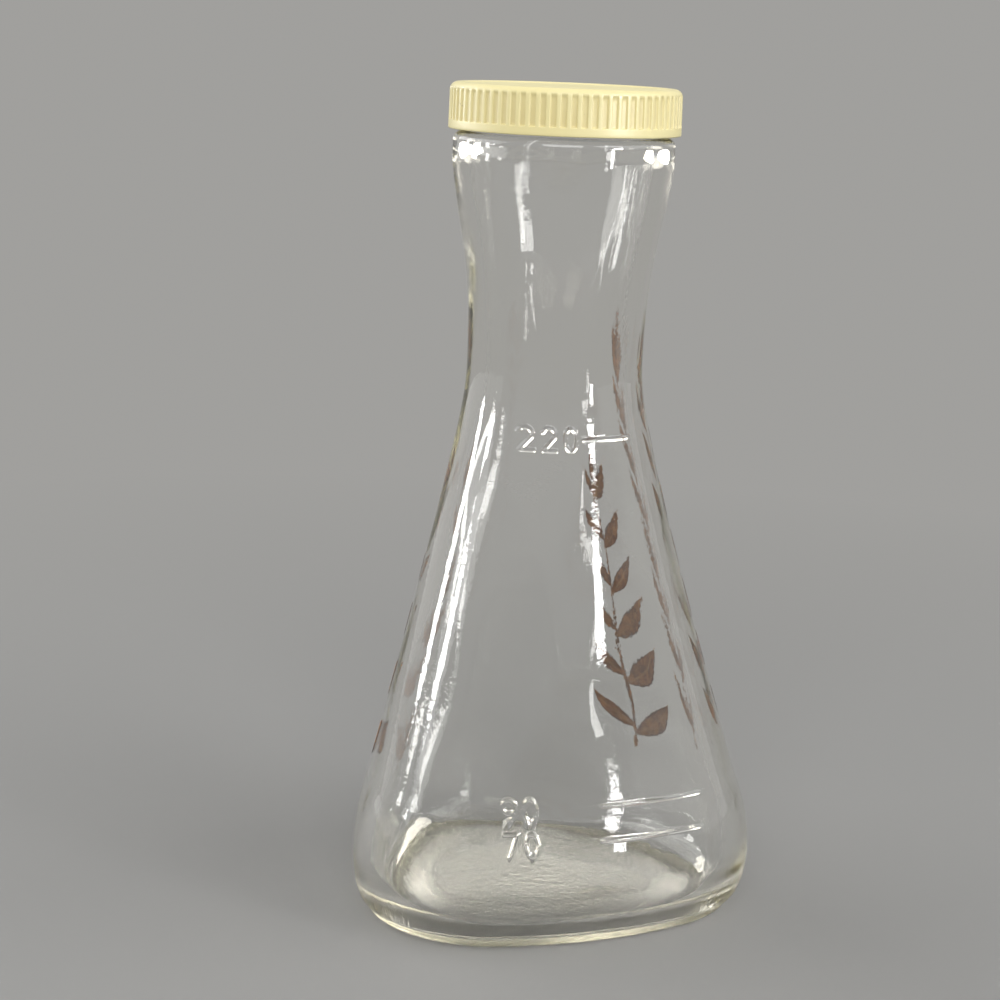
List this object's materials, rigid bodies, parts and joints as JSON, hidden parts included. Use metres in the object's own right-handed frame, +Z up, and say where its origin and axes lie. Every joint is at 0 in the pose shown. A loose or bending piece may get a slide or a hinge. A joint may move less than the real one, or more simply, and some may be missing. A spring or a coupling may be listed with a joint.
{
  "type": "salad dressing shaker bottle",
  "caption": "Clear glass shaker bottle with a soft three-cornered body, pushed-up base, narrow waist and a ribbed screw cap with a sealing liner.",
  "frame": {"origin": "middle of the bottle's footprint box on the table; the round axis of neck and cap lies 3.644 mm towards -Y from it", "axes": "+Z up along the bottle, -Y out of the plain front side, +X to the right seen from the front"},
  "size_m": [0.083, 0.081, 0.165],
  "materials": {
    "clear_glass": "smooth pressed-and-blown soda-lime glass, very faint green",
    "cap_plastic": "semi-gloss moulded plastic, cream yellow, fine ribs",
    "liner": "matt foam sealing disc"
  },
  "bodies": {
    "bottle": {"glass_bottle": "clear_glass"},
    "liner": {"cap_liner": "liner"},
    "cap": {"screw_cap": "cap_plastic"}
  },
  "joints": [
    {"name": "cap_rise", "type": "slide", "parent": "bottle", "child": "liner", "axis": [0, 0, 1], "range_m": [0, 0.0127]},
    {"name": "cap_turn", "type": "hinge", "parent": "liner", "child": "cap", "pos_m": [0, -0.00364, 0.16], "axis": [0, 0, 1], "range_deg": [0, 1080]}
  ],
  "couplings": [
    {"joint": "cap_rise", "follows": "cap_turn", "m_per_rad": 0.00067375}
  ]
}
